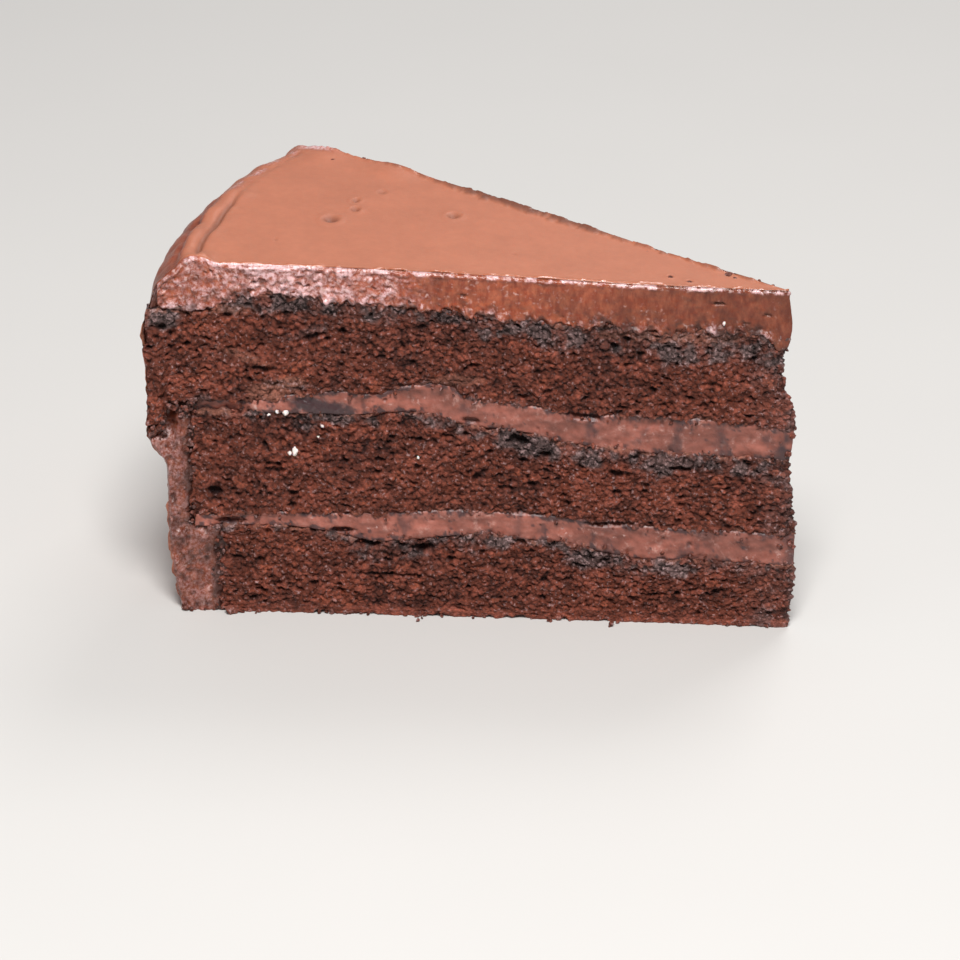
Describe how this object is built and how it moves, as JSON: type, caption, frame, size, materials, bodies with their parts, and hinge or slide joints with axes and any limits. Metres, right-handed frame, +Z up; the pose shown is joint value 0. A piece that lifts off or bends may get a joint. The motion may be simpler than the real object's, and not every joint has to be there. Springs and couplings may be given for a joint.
{
  "type": "slice of chocolate cake",
  "caption": "Wedge of layered chocolate cake with chocolate filling between the sponge layers and smooth icing over the top and the curved rim.",
  "frame": {"origin": "on the base, under the middle of the slice's overall box", "axes": "+Z up; +X from the iced rim towards the pointed tip, along the line that halves the wedge; +Y towards the back cut"},
  "size_m": [0.1216, 0.068, 0.0716],
  "materials": {
    "sponge": "open, moist chocolate crumb",
    "filling": "dull, cut chocolate buttercream",
    "icing": "smooth satin chocolate buttercream"
  },
  "bodies": {
    "root": {"sponge_bottom": "sponge", "filling_lower": "filling", "sponge_middle": "sponge", "filling_upper": "filling", "sponge_top": "sponge", "icing": "icing"}
  },
  "joints": []
}
